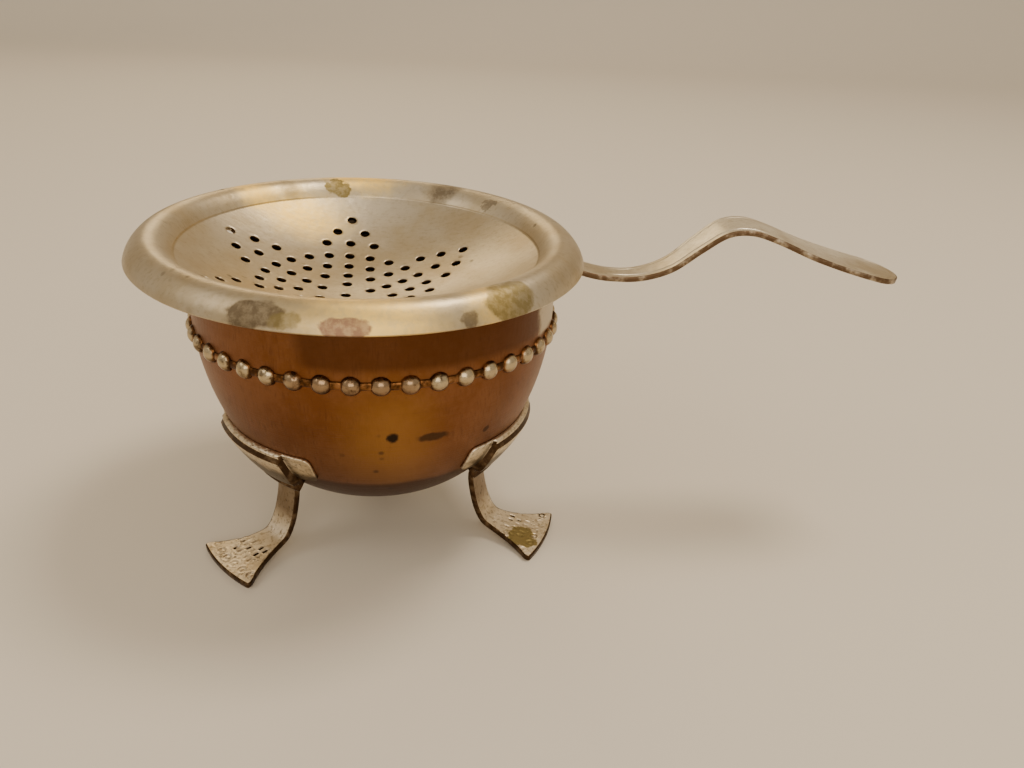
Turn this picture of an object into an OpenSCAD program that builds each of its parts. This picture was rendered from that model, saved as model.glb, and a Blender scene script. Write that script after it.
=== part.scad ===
// Tea strainer resting on a three-footed drip stand.
// Origin: on the stand's axis, in the plane that the feet rest on. +Z up, +X towards the handle.

/* [Stand] */
// Outer radius of the drip bowl's wall
stand_r = 30.5; // [28:0.5:34]
// Height of the drip bowl's rim above the table
stand_top_z = 48.4; // [46:0.1:48.4]
// Height of the drip bowl's lowest outside point
stand_base_z = 8.7; // [7:0.1:11]
// Sheet thickness of the drip bowl
stand_wall = 0.7; // [0.5:0.1:1]
// Height where the drip bowl's wall becomes upright
stand_turn_z = 42; // [40:0.5:44]

/* [Beaded band] */
// Height of the row of beads
bead_z = 39.3; // [36:0.1:40]
// Number of beads round the bowl
bead_count = 44; // [36:1:48]
// Radius of each bead's ball
bead_ball_r = 1.7; // [1.4:0.05:1.8]
// How far a bead stands out from the bowl
bead_proud = 1.05; // [0.8:0.05:1.2]
// Height of the strip that links the beads
band_h = 1.4; // [1.2:0.1:2.4]
// Thickness of that strip
band_t = 0.25; // [0.15:0.05:0.4]

/* [Feet] */
// Sheet thickness of a foot
foot_t = 1; // [0.7:0.1:1.2]
// Radius, from the stand's axis, of a foot's outer edge
foot_tip_r = 32.7; // [30:0.1:36]
// Half the angle of a foot's fan, seen from the stand's axis
foot_fan_half = 14.2; // [10:0.1:18]
// Width of a foot's leg
leg_w = 5.6; // [4:0.1:7]
// Half the angle that a saddle reaches round the bowl
saddle_half = 31; // [28:1:36]
// Compass angle of the first foot
foot_first = -136.3; // [-180:0.1:180]

/* [Strainer] */
// Radius of the crease between the pierced dish and the flange
crease_r = 30.5; // [29.5:0.1:31]
// Height of that crease above the table
crease_z = 50.9; // [50.9:0.1:53]
// Depth of the pierced dish below the crease
dish_depth = 9.8; // [8.5:0.1:10.1]
// Sheet thickness of the strainer
dish_t = 0.8; // [0.6:0.1:0.9]
// Radius of the flange's crown
crown_r = 33.9; // [33.7:0.1:34.1]
// Height of the crown's middle line above the crease
crown_h = 2.7; // [2.5:0.1:2.9]
// Radius of the flange's turned-down edge
edge_r = 37.45; // [37.2:0.05:37.8]
// Drop of that edge below the crease
edge_drop = 0.7; // [0.4:0.1:1]
// Diameter of each drain hole
hole_d = 1.55; // [1:0.05:1.8]
// Step between the full rings of holes
ring_step = 3.25; // [3:0.05:3.3]
// How far the strainer has slipped along X in its seat
seat_x = -2.5; // [-2.5:0.1:0]
// How far the strainer has slipped along Y in its seat
seat_y = 1; // [0:0.1:1]
// Tilt of the strainer, handle side down
seat_tilt = 1; // [0:0.1:1]
// Tilt of the strainer, front down
seat_nod = 1; // [0:0.1:1]

/* [Handle] */
// Angle of the handle from +X
handle_turn = 4; // [-10:1:10]
// Thickness of the handle's strip
handle_t = 0.9; // [0.8:0.1:1.4]
// Width of the handle at its waist
handle_waist_w = 5.2; // [4:0.1:7]
// Width of the handle at its broad end
handle_end_w = 12; // [9:0.5:14]
// Distance of the handle's tip from the strainer's axis
handle_tip = 93.4; // [93.4:0.1:98]

/* [Hidden] */
$fn = 96;
far = 200;

// Superellipse exponents of the drip bowl's side, across and up
bowl_q = 2.8;
bowl_p = 1.8;
bowl_steps = 22;

// Outside radius of the drip bowl at height z
function bowl_r(z) =
    z >= stand_turn_z ? stand_r
    : stand_r * pow(1 - pow((stand_turn_z - z) / (stand_turn_z - stand_base_z), bowl_p), 1 / bowl_q);

// Heights of the bowl's profile points, close together where the base curves most
bowl_heights = [for (i = [0:bowl_steps])
    stand_base_z + (stand_turn_z - stand_base_z) * pow(i / bowl_steps, 2)];

// The part of that profile between two heights, with exact end points
function bowl_side(z0, z1, out = 0) = concat(
    [[bowl_r(z0) + out, z0]],
    [for (z = bowl_heights) if (z > z0 + 0.05 && z < z1 - 0.05) [bowl_r(z) + out, z]],
    [[bowl_r(z1) + out, z1]]);

function reversed(list) = [for (i = [len(list) - 1:-1:0]) list[i]];

// Smooth curve through a list of points (Catmull-Rom), n steps to each span
function curve_point(a, b, c, d, t) =
    0.5 * (2 * b + (c - a) * t + (2 * a - 5 * b + 4 * c - d) * t * t + (3 * b - a - 3 * c + d) * t * t * t);
function curve(p, n) = concat(
    [for (i = [0:len(p) - 2]) for (k = [0:n - 1])
        curve_point(p[max(i - 1, 0)], p[i], p[i + 1], p[min(i + 2, len(p) - 1)], k / n)],
    [p[len(p) - 1]]);

// A strip of thickness t whose middle follows a curve
function unit(v) = v / norm(v);
function normal_at(c, i) = let (d = unit(c[min(i + 1, len(c) - 1)] - c[max(i - 1, 0)])) [-d[1], d[0]];
function strip(c, t) = concat(
    [for (i = [0:len(c) - 1]) c[i] + normal_at(c, i) * t / 2],
    [for (i = [len(c) - 1:-1:0]) c[i] - normal_at(c, i) * t / 2]);

function arc(r, a0, a1, n, x = 0, y = 0) =
    [for (i = [0:n]) let (a = a0 + (a1 - a0) * i / n) [x + r * cos(a), y + r * sin(a)]];

// Drip bowl: spun sheet, upright wall over a rounded base, rim rounded over
module drip_bowl() {
    inner = [for (z = bowl_heights) [max(bowl_r(z) - stand_wall, 0), z + (stand_turn_z - z)
        / (stand_turn_z - stand_base_z) * stand_wall]];
    rim_mid_r = stand_r - stand_wall / 2;
    rim = arc(stand_wall / 2, 0, 180, 6, rim_mid_r, stand_top_z - stand_wall / 2);
    color("sienna")
        rotate_extrude()
            polygon(concat([for (z = bowl_heights) [bowl_r(z), z]], rim, reversed(inner)));
}

// Beaded band: a row of balls set into the wall, with a narrow strip that links them
module bead_band() {
    ball_x = stand_r + bead_proud - bead_ball_r;
    z0 = bead_z - band_h / 2;
    z1 = bead_z + band_h / 2;
    color("silver")
        difference() {
            union() {
                rotate_extrude()
                    polygon(concat([[ball_x, z0]], bowl_side(z0, z1, band_t), [[ball_x, z1]]));
                for (i = [0:bead_count - 1])
                    rotate([0, 0, (i + 0.19) * 360 / bead_count - 90])
                        translate([ball_x, 0, bead_z])
                            sphere(r = bead_ball_r, $fn = 24);
            }
            // the bowl's space
            rotate_extrude()
                polygon(concat([[0, z0 - 3]], bowl_side(z0 - 3, z1 + 3), [[0, z1 + 3]]));
        }
}

// Side line of a leg and foot: up from the fan, through the bend, to the underside of the bowl
leg_line = [[foot_tip_r + 1, 0.05], [28, 1], [24, 2.1], [21.8, 3.6], [20.4, 6], [19.4, 9], [19.1, 12], [19.6, 13.6],
    [20.8, 15.2], [22, 16.5]];
neck_r = 23;
// Saddle: wings against the bowl, and the leg's broadened end, which stands out from them
wing_low_z = 17.9;
wing_high_z = 23.6;
head_low_z = 15.6;
head_high_z = 23.2;
head_half = 20.5;
wing_t = 0.7;
head_t = 2;
corner = 1.2;

// A skin outside the bowl between two heights, cut square across and with its corners off
module saddle_layer(out, half, z0, z1) {
    y = bowl_r(z1) * sin(half);
    intersection() {
        rotate_extrude()
            polygon(concat(bowl_side(z0 - 1, z1 + 1), reversed(bowl_side(z0 - 1, z1 + 1, out))));
        rotate([90, 0, 90])
            linear_extrude(far)
                polygon([[-y, z0 + corner], [corner - y, z0], [y - corner, z0], [y, z0 + corner],
                    [y, z1 - corner], [y - corner, z1], [corner - y, z1], [-y, z1 - corner]]);
    }
}

// One foot on +X: saddle against the bowl, leg and fan
module foot() {
    color("lightgray")
        difference() {
            union() {
                saddle_layer(wing_t, saddle_half, wing_low_z, wing_high_z);
                saddle_layer(head_t, head_half, head_low_z, head_high_z);
                // leg and fan: bent strip, cut to its plan outline
                intersection() {
                    rotate([90, 0, 0])
                        translate([0, 0, -far / 2])
                            linear_extrude(far)
                                polygon(strip(curve(leg_line, 5), foot_t));
                    translate([0, 0, -1])
                        linear_extrude(head_low_z + 1.5)
                            polygon(concat(
                                [[15, -leg_w / 2], [neck_r - 1, -leg_w / 2], [neck_r, -leg_w / 2 - 0.5]],
                                arc(foot_tip_r, -foot_fan_half, foot_fan_half, 16),
                                [[neck_r, leg_w / 2 + 0.5], [neck_r - 1, leg_w / 2], [15, leg_w / 2]]));
                }
            }
            // bowl's space, and the table
            rotate_extrude()
                polygon(concat([[0, 5]], [[0, stand_base_z]], bowl_side(stand_base_z + 0.01, 30), [[0, 30]]));
            translate([-far / 2, -far / 2, -10])
                cube([far, far, 10]);
        }
}

module foot_left() { rotate([0, 0, foot_first]) foot(); }
module foot_right() { rotate([0, 0, foot_first + 120]) foot(); }
module foot_back() { rotate([0, 0, foot_first + 240]) foot(); }

// Strainer's own frame: crease centre on its axis, dropped into the stand
module seated() {
    translate([seat_x, seat_y, crease_z])
        rotate([seat_nod, seat_tilt, 0])
            children();
}

dish_ball_r = (crease_r * crease_r + dish_depth * dish_depth) / (2 * dish_depth);
dish_ball_z = dish_ball_r - dish_depth;

// Middle line of the flange: up from the crease, over the crown, down to the edge
flange_line = [[crease_r, 0], [31.5, 1.35], [crown_r - 1.3, crown_h - 0.4], [crown_r, crown_h],
    [crown_r + 1.3, crown_h - 0.35], [edge_r - 1.2, crown_h - 1.25], [edge_r - 0.45, crown_h - 2.3],
    [edge_r, -edge_drop]];

// Rings of drain holes: full rings of 6, 12, 18 and 24, then points of 3, 2 and 1
star_points = 6;
star_turn = 37;
full_rings = 4;
point_rows = 3;
// Extra radius of the full rings, so that the middle one stands a little apart
ring_start = 1.6;
// Radius that the points start from, step between their rows, and angle between their holes
point_start = 15.3;
point_step = 3;
point_pitch = 14;
// How far the whole pattern sits off the dish's axis
pattern_x = -2.9;
pattern_y = 0.4;

module drain_holes() {
    punch_h = dish_depth + 3;
    translate([pattern_x, pattern_y, -punch_h]) {
        cylinder(d = hole_d, h = punch_h);
        for (ring = [1:full_rings]) for (i = [0:star_points * ring - 1])
            rotate([0, 0, star_turn + i * 360 / star_points / ring])
                translate([ring_start + ring * ring_step, 0, 0])
                    cylinder(d = hole_d, h = punch_h);
        for (point = [0:star_points - 1]) for (row = [1:point_rows]) for (i = [0:point_rows - row])
            rotate([0, 0, star_turn + point * 360 / star_points + (i - (point_rows - row) / 2) * point_pitch])
                translate([point_start + row * point_step, 0, 0])
                    cylinder(d = hole_d, h = punch_h);
    }
}

// Everything above the flange's underside, which trims the handle's root to fit it
module flange_space() {
    line = curve(flange_line, 4);
    underside = [for (i = [0:len(line) - 1]) line[i] - normal_at(line, i) * dish_t / 2];
    rotate_extrude()
        polygon(concat(underside, [[edge_r + 1, -edge_drop], [edge_r + 1, 20], [crease_r, 20]]));
}

// Strainer bowl: pierced dish, crease, and a flange rolled over and turned down
module strainer_bowl() {
    color("silver")
        seated() {
            difference() {
                intersection() {
                    translate([0, 0, dish_ball_z])
                        sphere(r = dish_ball_r + dish_t / 2);
                    translate([0, 0, -dish_depth - 5])
                        cylinder(r = crease_r + 0.2, h = dish_depth + 5);
                }
                translate([0, 0, dish_ball_z])
                    sphere(r = dish_ball_r - dish_t / 2);
                drain_holes();
            }
            rotate_extrude()
                polygon(strip(curve(flange_line, 4), dish_t));
        }
}

// Side line of the handle: hooked under the rolled flange, up over the hump, down to the tip
handle_line = [[34.2, 3.8], [34.4, 1.2], [35.6, -1.4], [38.5, -2.7], [43, -3.4], [48, -3.1], [53, -1.2],
    [57.5, 2.5], [61.5, 5.5], [65.5, 6.2], [70, 5.1], [77, 2.5], [85, 0.2], [handle_tip + 1, -1.8]];
waist_x = 44;

// Half the width of the handle at distance x from the strainer's axis
function handle_half(x) =
    x < waist_x ? handle_waist_w / 2 + (waist_x - x) * 0.06
    : (handle_waist_w + (handle_end_w - handle_waist_w)
        * pow(sin(90 * min(1, (x - waist_x) / (handle_tip - 8 - waist_x))), 1.6)) / 2;

// Handle: bent strip with a spatula end
module handle() {
    tip_r = handle_end_w / 2;
    far_edge = [for (x = [33:3:handle_tip - tip_r]) [x, handle_half(x)]];
    near_edge = [for (p = far_edge) [p[0], -p[1]]];
    tip_arc = arc(tip_r, -80, 80, 12, handle_tip - tip_r);
    color("gainsboro")
        seated()
            difference() {
                rotate([0, 0, handle_turn])
                    intersection() {
                        rotate([90, 0, 0])
                            translate([0, 0, -far / 2])
                                linear_extrude(far)
                                    polygon(strip(curve(handle_line, 4), handle_t));
                        translate([0, 0, -10])
                            linear_extrude(20)
                                polygon(concat(near_edge, tip_arc, reversed(far_edge)));
                    }
                flange_space();
            }
}

drip_bowl();
bead_band();
foot_left();
foot_right();
foot_back();
strainer_bowl();
handle();
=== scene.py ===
"""Tea strainer on its three-footed drip stand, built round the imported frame. Lengths are metres."""
import math

import bpy
import bmesh
import numpy as np
from mathutils import Matrix, Vector


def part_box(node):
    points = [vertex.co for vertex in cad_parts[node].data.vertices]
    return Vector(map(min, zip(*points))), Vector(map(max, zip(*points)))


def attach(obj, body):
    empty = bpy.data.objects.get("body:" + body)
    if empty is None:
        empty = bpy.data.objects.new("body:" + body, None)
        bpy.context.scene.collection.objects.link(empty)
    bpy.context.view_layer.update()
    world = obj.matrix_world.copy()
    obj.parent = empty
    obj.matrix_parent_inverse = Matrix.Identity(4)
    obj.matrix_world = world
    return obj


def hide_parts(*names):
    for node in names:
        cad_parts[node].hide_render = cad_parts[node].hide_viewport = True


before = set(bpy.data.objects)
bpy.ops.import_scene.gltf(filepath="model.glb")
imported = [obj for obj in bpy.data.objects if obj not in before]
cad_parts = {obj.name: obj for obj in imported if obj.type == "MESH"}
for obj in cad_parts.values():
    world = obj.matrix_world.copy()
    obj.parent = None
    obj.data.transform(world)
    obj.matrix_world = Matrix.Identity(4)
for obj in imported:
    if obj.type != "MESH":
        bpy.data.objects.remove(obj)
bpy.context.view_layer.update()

MM = 0.001

# ---------------------------------------------------------------- sizes, from the frame

bowl_low, bowl_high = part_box("drip_bowl")
band_low, band_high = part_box("bead_band")
strainer_low, strainer_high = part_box("strainer_bowl")

STAND_R = (bowl_high[0] - bowl_low[0]) / 2
STAND_TOP = bowl_high[2]
STAND_BASE = bowl_low[2]
STAND_WALL = 0.7 * MM
STAND_TURN = 42 * MM        # height where the wall becomes upright
SIDE_ACROSS = 2.8           # superellipse powers of the bowl's side
SIDE_UP = 1.8

BEAD_COUNT = 44
BEAD_Z = (band_low[2] + band_high[2]) / 2
BEAD_BALL = 1.7 * MM
BEAD_OUT = (band_high[0] - band_low[0]) / 2
BEAD_SHIFT = 0.19           # first bead, in steps from the front
BEAD_WEAR = 0.14 * MM
LINK_HALF = 0.65 * MM       # half the height of the strip that links the beads
LINK_OUT = 0.3 * MM

FOOT_T = 1.0 * MM
FOOT_TIP = 32.7 * MM
FOOT_FAN = math.radians(14.2)
LEG_W = 5.6 * MM
SADDLE_HALF = math.radians(31)
SADDLE_TOP = 23.7 * MM
FOOT_FIRST = -136.3         # compass angle of the left foot

CREASE_R = 30.5 * MM
CREASE_Z = 50.9 * MM
DISH_DEPTH = 9.8 * MM
DISH_T = 0.8 * MM
HOLE_R = 0.8 * MM
RING_START = 1.6 * MM       # full rings of holes: this plus the step times the ring's number
RING_STEP = 3.25 * MM
POINT_START = 15.3 * MM     # the same for the rows of the star's points
POINT_STEP = 3 * MM
POINT_PITCH = 14            # degrees between the holes of one row
STAR_TURN = 37
PATTERN = (-2.9 * MM, 0.4 * MM)
SEAT = (-2.5 * MM, 1 * MM)
SEAT_TILT = math.radians(1)
SEAT_NOD = math.radians(1)

HANDLE_TURN = math.radians(4)
HANDLE_T = 0.9 * MM
HANDLE_WAIST = 5.2 * MM
HANDLE_END = 12 * MM
HANDLE_TIP = 93.4 * MM

BOWL_STEPS = 256            # steps round the bowl and the beads' strip, and round the dish
DISH_STEPS = 300
HOLES_WITHIN = 0.9 * CREASE_R
WALL_LEAN = 0.6             # faces of the dish steeper than this are the walls of holes


# ---------------------------------------------------------------- curves and meshes

def smooth_step(x):
    x = np.clip(x, 0, 1)
    return x * x * (3 - 2 * x)


def curve(points, steps):
    """Smooth curve through a list of points, with so many steps to each span."""
    p = np.array(points, float)
    out = []
    for i in range(len(p) - 1):
        a, b, c, d = p[max(i - 1, 0)], p[i], p[i + 1], p[min(i + 2, len(p) - 1)]
        for t in np.arange(steps) / steps:
            out.append(0.5 * (2 * b + (c - a) * t + (2 * a - 5 * b + 4 * c - d) * t ** 2
                              + (3 * b - a - 3 * c + d) * t ** 3))
    return np.array(out + [p[-1]])


def normals_of(line):
    """Unit normals on the left of a plane curve."""
    d = np.gradient(line, axis=0)
    d /= np.linalg.norm(d, axis=1)[:, None]
    return np.stack([-d[:, 1], d[:, 0]], axis=1)


def offset(line, distance):
    return line + normals_of(line) * distance


def arc(radius, start, end, steps, centre=(0, 0)):
    a = np.radians(np.linspace(start, end, steps + 1))
    return np.stack([centre[0] + radius * np.cos(a), centre[1] + radius * np.sin(a)], axis=1)


def new_object(name, mesh):
    piece = bpy.data.objects.new(name, mesh)
    bpy.context.scene.collection.objects.link(piece)
    return piece


def mesh_of(name, vertices, faces, place=None):
    """A mesh with smooth faces that point outwards, moved by place."""
    mesh = bpy.data.meshes.new(name)
    mesh.from_pydata([tuple(v) for v in vertices], [], faces)
    if place is not None:
        mesh.transform(place)
    work = bmesh.new()
    work.from_mesh(mesh)
    bmesh.ops.recalc_face_normals(work, faces=work.faces)
    work.to_mesh(mesh)
    work.free()
    mesh.shade_smooth()
    return mesh


def lathe(profile, segments):
    """Vertices and faces of a profile (radius, height) turned about Z. Points on the axis become poles."""
    profile = np.array(profile, float)
    turn = np.arange(segments) * 2 * math.pi / segments
    vertices, rows = [], []
    for radius, height in profile:
        if radius < 1e-7:
            rows.append([len(vertices)] * segments)
            vertices.append((0, 0, height))
        else:
            rows.append(list(range(len(vertices), len(vertices) + segments)))
            vertices += [(radius * math.cos(a), radius * math.sin(a), height) for a in turn]
    faces = []
    for low, high in zip(rows, rows[1:]):
        for i in range(segments):
            j = (i + 1) % segments
            ring = [low[i], low[j], high[j], high[i]]
            face = list(dict.fromkeys(ring))
            if len(face) > 2:
                faces.append(face)
    return vertices, faces


EDGE_T = 0.85               # how thick a sheet still is right at its edge
EDGE_REACH = 0.22 * MM
DARK_RIM = 0.2 * MM         # faces this close to a sheet's edge count as its cut edge
STEEP_STEP = 0.12 * MM      # and so do faces that climb more than this


def edge_round(distance):
    """How thick a sheet is near its edge, as a share of its full thickness."""
    x = np.clip(distance / EDGE_REACH, 0, 1)
    return EDGE_T + (1 - EDGE_T) * np.sqrt(1 - (1 - x) ** 2)


def sheet_solid(name, middle, thickness, margin, rows, columns, relief, place, bright=None):
    """A closed sheet. middle(s, u) gives points and normals, margin(s, u) the distance to the edge,
    and relief(s, u) the height stamped into its upper face. s and u run over rows and columns.
    Its cut edges take the second material, except where bright(s, u) holds."""
    s, u = np.meshgrid(rows, columns, indexing="ij")
    points, normals = middle(s, u)
    half = (thickness / 2 * edge_round(margin(s, u)))[..., None]
    lift = relief(s, u)[..., None]
    top = points + normals * (half + lift)
    bottom = points - normals * half
    nr, nc = s.shape
    vertices = np.concatenate([top.reshape(-1, 3), bottom.reshape(-1, 3)])
    up = np.arange(nr * nc).reshape(nr, nc)
    down = up + nr * nc
    faces, kinds = [], []

    def quads(a, b, c, d, kind):
        block = np.stack([a.ravel(), b.ravel(), c.ravel(), d.ravel()], axis=1).tolist()
        faces.extend(block)
        kinds.extend([kind] * len(block))

    quads(up[:-1, :-1], up[1:, :-1], up[1:, 1:], up[:-1, 1:], 0)
    quads(down[:-1, :-1], down[:-1, 1:], down[1:, 1:], down[1:, :-1], 0)
    corners = [np.s_[:-1, :-1], np.s_[1:, :-1], np.s_[1:, 1:], np.s_[:-1, 1:]]
    # Cut edges and steep steps of the relief take the dark second material, partly painted shade.
    rim = np.mean([margin(s, u)[c] for c in corners], axis=0) < DARK_RIM
    if bright:
        rim = rim & ~bright(s, u)[:-1, :-1]
    step = np.array([relief(s, u)[c] for c in corners])
    steep = step.max(axis=0) - step.min(axis=0) > STEEP_STEP
    kinds = (rim | steep).astype(int).ravel().tolist() + rim.astype(int).ravel().tolist()
    for line in (np.s_[0, :], np.s_[-1, :], np.s_[:, 0], np.s_[:, -1]):
        quads(up[line][:-1], up[line][1:], down[line][1:], down[line][:-1], 1)
        if bright:
            kinds[-(len(up[line]) - 1):] = (1 - bright(s, u)[line][:-1].astype(int)).tolist()
    mesh = mesh_of(name, vertices, faces, place)
    mesh.polygons.foreach_set("material_index", kinds)
    sunk = np.concatenate([relief(s, u).ravel(), np.zeros(nr * nc)]) / MM
    layer = mesh.attributes.new("stamped", "FLOAT", "POINT")
    layer.data.foreach_set("value", sunk)
    return mesh


# ---------------------------------------------------------------- geometry node trees

class Tree:
    """A geometry node tree made in code, with named inputs."""

    def __init__(self, name):
        self.tree = bpy.data.node_groups.new(name, "GeometryNodeTree")
        self.tree.interface.new_socket("Geometry", in_out="OUTPUT", socket_type="NodeSocketGeometry")
        self.values = {}

    def add_input(self, name, kind, value=None):
        socket = self.tree.interface.new_socket(name, in_out="INPUT", socket_type=kind)
        if value is not None:
            self.values[socket.identifier] = value

    def start(self):
        self.group_in = self.tree.nodes.new("NodeGroupInput")
        return self.group_in.outputs

    def node(self, kind, settings=None, inputs=None):
        made = self.tree.nodes.new(kind)
        for key, value in (settings or {}).items():
            setattr(made, key, value)
        for key, value in (inputs or {}).items():
            socket = made.inputs[key]
            for one in value if isinstance(value, list) else [value]:
                if isinstance(one, bpy.types.NodeSocket):
                    self.tree.links.new(one, socket)
                else:
                    socket.default_value = one
        return made.outputs

    def finish(self, geometry, material):
        real = self.node("GeometryNodeRealizeInstances", inputs={"Geometry": geometry})
        made = self.node("GeometryNodeSetMaterial", inputs={"Geometry": real[0], "Material": material})
        out = self.tree.nodes.new("NodeGroupOutput")
        self.tree.links.new(made[0], out.inputs[0])

    def run(self, piece):
        """Runs the tree on a piece and puts the plain mesh that it makes in the piece."""
        modifier = piece.modifiers.new("maker", "NODES")
        modifier.node_group = self.tree
        for identifier, value in self.values.items():
            modifier[identifier] = value
        seen = piece.evaluated_get(bpy.context.evaluated_depsgraph_get())
        mesh = bpy.data.meshes.new_from_object(seen)
        piece.modifiers.remove(modifier)
        piece.data = mesh
        return piece


# ---------------------------------------------------------------- finishes

class Value:
    """A number that varies over a surface, with arithmetic that adds Math nodes."""

    def __init__(self, finish, socket):
        self.finish = finish
        self.socket = socket

    def math(self, operation, first, second=0.0):
        return self.finish.node("ShaderNodeMath", {"operation": operation}, {0: first, 1: second})

    def __add__(self, other):
        return self.math("ADD", self, other)

    def __sub__(self, other):
        return self.math("SUBTRACT", self, other)

    def __rsub__(self, other):
        return self.math("SUBTRACT", other, self)

    def __mul__(self, other):
        return self.math("MULTIPLY", self, other)

    def __truediv__(self, other):
        return self.math("DIVIDE", self, other)

    def __pow__(self, other):
        return self.math("POWER", self, other)

    __radd__ = __add__
    __rmul__ = __mul__


class Finish:
    """A material with one Principled shader, and the few helpers that its patterns are made with."""

    def __init__(self, name, **constants):
        self.material = bpy.data.materials.new(name)
        self.material.use_nodes = True
        self.tree = self.material.node_tree
        self.tree.nodes.clear()
        out = self.tree.nodes.new("ShaderNodeOutputMaterial")
        self.shader = self.tree.nodes.new("ShaderNodeBsdfPrincipled")
        self.tree.links.new(self.shader.outputs[0], out.inputs["Surface"])
        for name, value in constants.items():
            self.shader.inputs[name.replace("_", " ")].default_value = value
        self.place = self.node("ShaderNodeTexCoord", output="Object")

    def node(self, kind, settings=None, inputs=None, output=0):
        """One node: its settings first, then the values or links of its sockets."""
        made = self.tree.nodes.new(kind)
        for key, value in (settings or {}).items():
            setattr(made, key, value)
        for key, value in (inputs or {}).items():
            self.feed(made.inputs[key], value)
        return Value(self, made.outputs[output])

    def feed(self, socket, value):
        if isinstance(value, Value):
            self.tree.links.new(value.socket, socket)
        else:
            socket.default_value = value

    def put(self, **inputs):
        for name, value in inputs.items():
            self.feed(self.shader.inputs[name.replace("_", " ")], value)
        return self.material

    def scaled(self, x, y, z, centre=(0, 0, 0)):
        """Object coordinates about a centre, stretched along each axis."""
        moved = self.node("ShaderNodeVectorMath", {"operation": "SUBTRACT"}, {0: self.place, 1: centre})
        return self.node("ShaderNodeVectorMath", {"operation": "MULTIPLY"}, {0: moved, 1: (x, y, z)})

    def noise(self, vector, scale, detail=3.0, roughness=0.55):
        return self.node("ShaderNodeTexNoise", {"noise_dimensions": "3D"},
                         {"Vector": vector, "Scale": scale, "Detail": detail, "Roughness": roughness})

    def split(self, vector):
        return [self.node("ShaderNodeSeparateXYZ", inputs={0: vector}, output=i) for i in range(3)]

    def between(self, value, low, high, smooth=True):
        """0 at low, 1 at high."""
        kind = "SMOOTHSTEP" if smooth else "LINEAR"
        return self.node("ShaderNodeMapRange", {"interpolation_type": kind, "clamp": True},
                         {"Value": value, "From Min": low, "From Max": high})

    def mix(self, factor, first, second):
        made = self.tree.nodes.new("ShaderNodeMix")
        made.data_type = "RGBA"
        for index, value in ((0, factor), (6, first), (7, second)):
            value = (*value, 1) if isinstance(value, tuple) and len(value) == 3 else value
            self.feed(made.inputs[index], value)
        return Value(self, made.outputs[2])

    def near(self, centre, reach, ragged=0.0, scale=300.0, squeeze=(1, 1, 1), sharp=0.55):
        """A spot, in mm: 1 at its centre, 0 past its reach, squeezed along the axes, with a ragged edge."""
        centre = tuple(v * MM for v in centre)
        far = self.node("ShaderNodeVectorMath", {"operation": "LENGTH"},
                        {0: self.scaled(*squeeze, centre)}, output="Value")
        if ragged:
            far = far + (self.noise(self.place, scale, 4.0) - 0.5) * (ragged * MM)
        return self.between(far, reach * MM, reach * sharp * MM)

    def bump(self, height, distance, strength=1.0, under=None):
        inputs = {"Height": height, "Distance": distance, "Strength": strength}
        if under is not None:
            inputs["Normal"] = under
        return self.node("ShaderNodeBump", inputs=inputs)


SILVER = (0.60, 0.52, 0.385)
SILVER_WARM = (0.50, 0.40, 0.25)
# Painted highlight colour: golden glints of warm lamps on the silver.
SILVER_PAINTED_GLINT = (1.0, 0.70, 0.20)
TARNISH = (0.10, 0.07, 0.04)
BRASS_WORN = (0.25, 0.19, 0.07)
STAIN_RED = (0.30, 0.17, 0.12)
COPPER = (0.17, 0.062, 0.018)
COPPER_PINK = (0.22, 0.092, 0.036)
COPPER_DARK = (0.07, 0.024, 0.008)
# Painted reflection colour for the warm glow low on the copper.
COPPER_PAINTED_GLOW = (0.31, 0.145, 0.04)
# Painted shade colour for the bowl's underside.
COPPER_PAINTED_UNDERSIDE_SHADE = (0.055, 0.018, 0.003)
SOOT = (0.03, 0.018, 0.01)
# Painted shade colour for the legs.
LEG_PAINTED_SHADE = (0.14, 0.085, 0.04)
SILVER_DULL = (0.36, 0.28, 0.17)
FOOT_PALE = (0.82, 0.71, 0.54)
FOOT_DEEP = (0.62, 0.50, 0.33)
FOOT_STIPPLE = (0.30, 0.21, 0.11)
BEAD_FOOT_PALE = (0.26, 0.11, 0.035)
BEAD_FOOT_DARK = (0.06, 0.025, 0.008)
BEAD_BROWN = (0.24, 0.14, 0.075)
INSIDE_PALE = (0.40, 0.29, 0.18)
INSIDE_DARK = (0.24, 0.15, 0.09)
EDGE_DARK = (0.055, 0.028, 0.012)
EDGE_BROWN = (0.20, 0.13, 0.07)
HANDLE_EDGE_DARK = (0.13, 0.08, 0.045)
HANDLE_EDGE_PALE = (0.50, 0.41, 0.29)
# Painted light: a lighter copy of the silver, for the handle.
HANDLE_SILVER_PAINTED_LIGHT = (0.86, 0.79, 0.64)


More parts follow.
